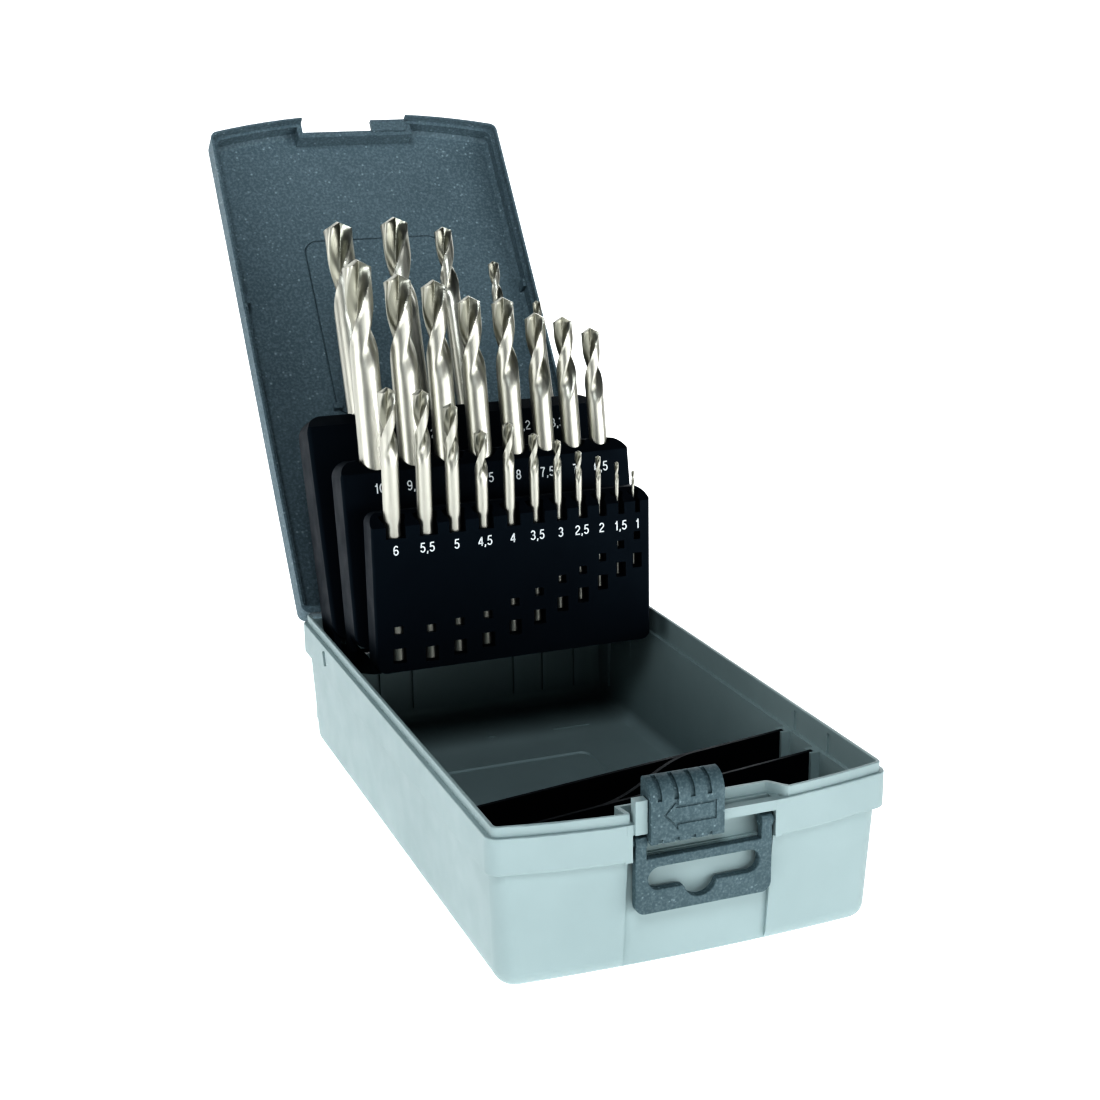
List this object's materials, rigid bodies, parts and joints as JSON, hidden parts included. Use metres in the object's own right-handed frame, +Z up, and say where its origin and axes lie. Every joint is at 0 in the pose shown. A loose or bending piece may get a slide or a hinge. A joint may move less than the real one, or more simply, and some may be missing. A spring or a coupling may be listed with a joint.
{
  "type": "drill bit case",
  "caption": "Flat plastic case with a hinged lid, a slide latch and a hanger, whose fold-up racks hold graded twist drills.",
  "frame": {"origin": "centre of the base's underside, midway between the front corners and the rear wall", "axes": "+X to the right seen from the latch side, +Y towards the lid hinge, +Z up; the case stands open"},
  "size_m": [0.121, 0.3428, 0.2191],
  "materials": {
    "tray_plastic": "satin light blue-grey",
    "lid_plastic": "satin slate, lightly textured inside",
    "rack_plastic": "satin near black",
    "grey_plastic": "speckled mid grey",
    "drill_steel": "bright ground steel",
    "steel_pin": "plain drawn steel"
  },
  "bodies": {
    "base": {"base_tray": "tray_plastic", "front_insert": "rack_plastic", "rack_hinge_rod": "steel_pin", "lid_hinge_pins": "steel_pin"},
    "lid": {"lid": "lid_plastic"},
    "front_rack": {"rack_front": "rack_plastic"},
    "middle_rack": {"rack_middle": "rack_plastic"},
    "rear_rack": {"rack_rear": "rack_plastic"},
    "slider": {"latch_slider": "grey_plastic"},
    "hanger": {"hanger": "grey_plastic"},
    "twist_drill_6_0": {"drill_6_0": "drill_steel"},
    "twist_drill_5_5": {"drill_5_5": "drill_steel"},
    "twist_drill_5_0": {"drill_5_0": "drill_steel"},
    "twist_drill_4_5": {"drill_4_5": "drill_steel"},
    "twist_drill_4_0": {"drill_4_0": "drill_steel"},
    "twist_drill_3_5": {"drill_3_5": "drill_steel"},
    "twist_drill_3_0": {"drill_3_0": "drill_steel"},
    "twist_drill_2_5": {"drill_2_5": "drill_steel"},
    "twist_drill_2_0": {"drill_2_0": "drill_steel"},
    "twist_drill_1_5": {"drill_1_5": "drill_steel"},
    "twist_drill_1_0": {"drill_1_0": "drill_steel"},
    "twist_drill_10_0": {"drill_10_0": "drill_steel"},
    "twist_drill_9_5": {"drill_9_5": "drill_steel"},
    "twist_drill_9_0": {"drill_9_0": "drill_steel"},
    "twist_drill_8_5": {"drill_8_5": "drill_steel"},
    "twist_drill_8_0": {"drill_8_0": "drill_steel"},
    "twist_drill_7_5": {"drill_7_5": "drill_steel"},
    "twist_drill_7_0": {"drill_7_0": "drill_steel"},
    "twist_drill_6_5": {"drill_6_5": "drill_steel"},
    "twist_drill_10_5": {"drill_10_5": "drill_steel"},
    "twist_drill_10_2": {"drill_10_2": "drill_steel"},
    "twist_drill_6_8": {"drill_6_8": "drill_steel"},
    "twist_drill_4_2": {"drill_4_2": "drill_steel"},
    "twist_drill_3_3": {"drill_3_3": "drill_steel"}
  },
  "joints": [
    {"name": "lid_hinge", "type": "hinge", "parent": "base", "child": "lid", "pos_m": [0, 0.102, 0.0483], "axis": [1, 0, 0], "range_deg": [0, 126]},
    {"name": "front_rack_hinge", "type": "hinge", "parent": "base", "child": "front_rack", "pos_m": [0, 0.0747, 0.0404], "axis": [1, 0, 0], "range_deg": [0, 91]},
    {"name": "middle_rack_hinge", "type": "hinge", "parent": "base", "child": "middle_rack", "pos_m": [0, 0.0747, 0.0404], "axis": [1, 0, 0], "range_deg": [0, 100.6]},
    {"name": "rear_rack_hinge", "type": "hinge", "parent": "base", "child": "rear_rack", "pos_m": [0, 0.0747, 0.0404], "axis": [1, 0, 0], "range_deg": [0, 110]},
    {"name": "slider_slide", "type": "slide", "parent": "base", "child": "slider", "axis": [1, 0, 0], "range_m": [0, 0.0107]},
    {"name": "hanger_hinge", "type": "hinge", "parent": "base", "child": "hanger", "pos_m": [0, -0.1062, 0.0404], "axis": [-1, 0, 0], "range_deg": [0, 105]},
    {"name": "twist_drill_6_0_slide", "type": "slide", "parent": "front_rack", "child": "twist_drill_6_0", "axis": [0, -0.0174, -0.9998], "range_m": [-0.049, 0]},
    {"name": "twist_drill_5_5_slide", "type": "slide", "parent": "front_rack", "child": "twist_drill_5_5", "axis": [0, -0.0174, -0.9998], "range_m": [-0.0496, 0]},
    {"name": "twist_drill_5_0_slide", "type": "slide", "parent": "front_rack", "child": "twist_drill_5_0", "axis": [0, -0.0174, -0.9998], "range_m": [-0.0486, 0]},
    {"name": "twist_drill_4_5_slide", "type": "slide", "parent": "front_rack", "child": "twist_drill_4_5", "axis": [0, -0.0174, -0.9998], "range_m": [-0.0474, 0]},
    {"name": "twist_drill_4_0_slide", "type": "slide", "parent": "front_rack", "child": "twist_drill_4_0", "axis": [0, -0.0174, -0.9998], "range_m": [-0.0442, 0]},
    {"name": "twist_drill_3_5_slide", "type": "slide", "parent": "front_rack", "child": "twist_drill_3_5", "axis": [0, -0.0174, -0.9998], "range_m": [-0.0416, 0]},
    {"name": "twist_drill_3_0_slide", "type": "slide", "parent": "front_rack", "child": "twist_drill_3_0", "axis": [0, -0.0174, -0.9998], "range_m": [-0.0381, 0]},
    {"name": "twist_drill_2_5_slide", "type": "slide", "parent": "front_rack", "child": "twist_drill_2_5", "axis": [0, -0.0174, -0.9998], "range_m": [-0.0358, 0]},
    {"name": "twist_drill_2_0_slide", "type": "slide", "parent": "front_rack", "child": "twist_drill_2_0", "axis": [0, -0.0174, -0.9998], "range_m": [-0.0321, 0]},
    {"name": "twist_drill_1_5_slide", "type": "slide", "parent": "front_rack", "child": "twist_drill_1_5", "axis": [0, -0.0174, -0.9998], "range_m": [-0.0283, 0]},
    {"name": "twist_drill_1_0_slide", "type": "slide", "parent": "front_rack", "child": "twist_drill_1_0", "axis": [0, -0.0174, -0.9998], "range_m": [-0.0256, 0]},
    {"name": "twist_drill_10_0_slide", "type": "slide", "parent": "middle_rack", "child": "twist_drill_10_0", "axis": [0, -0.1839, -0.9829], "range_m": [-0.0644, 0]},
    {"name": "twist_drill_9_5_slide", "type": "slide", "parent": "middle_rack", "child": "twist_drill_9_5", "axis": [0, -0.1839, -0.9829], "range_m": [-0.064, 0]},
    {"name": "twist_drill_9_0_slide", "type": "slide", "parent": "middle_rack", "child": "twist_drill_9_0", "axis": [0, -0.1839, -0.9829], "range_m": [-0.0644, 0]},
    {"name": "twist_drill_8_5_slide", "type": "slide", "parent": "middle_rack", "child": "twist_drill_8_5", "axis": [0, -0.1839, -0.9829], "range_m": [-0.0644, 0]},
    {"name": "twist_drill_8_0_slide", "type": "slide", "parent": "middle_rack", "child": "twist_drill_8_0", "axis": [0, -0.1839, -0.9829], "range_m": [-0.0644, 0]},
    {"name": "twist_drill_7_5_slide", "type": "slide", "parent": "middle_rack", "child": "twist_drill_7_5", "axis": [0, -0.1839, -0.9829], "range_m": [-0.0644, 0]},
    {"name": "twist_drill_7_0_slide", "type": "slide", "parent": "middle_rack", "child": "twist_drill_7_0", "axis": [0, -0.1839, -0.9829], "range_m": [-0.0644, 0]},
    {"name": "twist_drill_6_5_slide", "type": "slide", "parent": "middle_rack", "child": "twist_drill_6_5", "axis": [0, -0.1839, -0.9829], "range_m": [-0.063, 0]},
    {"name": "twist_drill_10_5_slide", "type": "slide", "parent": "rear_rack", "child": "twist_drill_10_5", "axis": [0, -0.342, -0.9397], "range_m": [-0.0632, 0]},
    {"name": "twist_drill_10_2_slide", "type": "slide", "parent": "rear_rack", "child": "twist_drill_10_2", "axis": [0, -0.342, -0.9397], "range_m": [-0.0624, 0]},
    {"name": "twist_drill_6_8_slide", "type": "slide", "parent": "rear_rack", "child": "twist_drill_6_8", "axis": [0, -0.342, -0.9397], "range_m": [-0.043, 0]},
    {"name": "twist_drill_4_2_slide", "type": "slide", "parent": "rear_rack", "child": "twist_drill_4_2", "axis": [0, -0.342, -0.9397], "range_m": [-0.023, 0]},
    {"name": "twist_drill_3_3_slide", "type": "slide", "parent": "rear_rack", "child": "twist_drill_3_3", "axis": [0, -0.342, -0.9397], "range_m": [-0.029, 0]}
  ],
  "couplings": [
    {"joint": "front_rack_hinge", "follows": "lid_hinge", "ratio": 0.7222},
    {"joint": "middle_rack_hinge", "follows": "lid_hinge", "ratio": 0.7984},
    {"joint": "rear_rack_hinge", "follows": "lid_hinge", "ratio": 0.873}
  ]
}
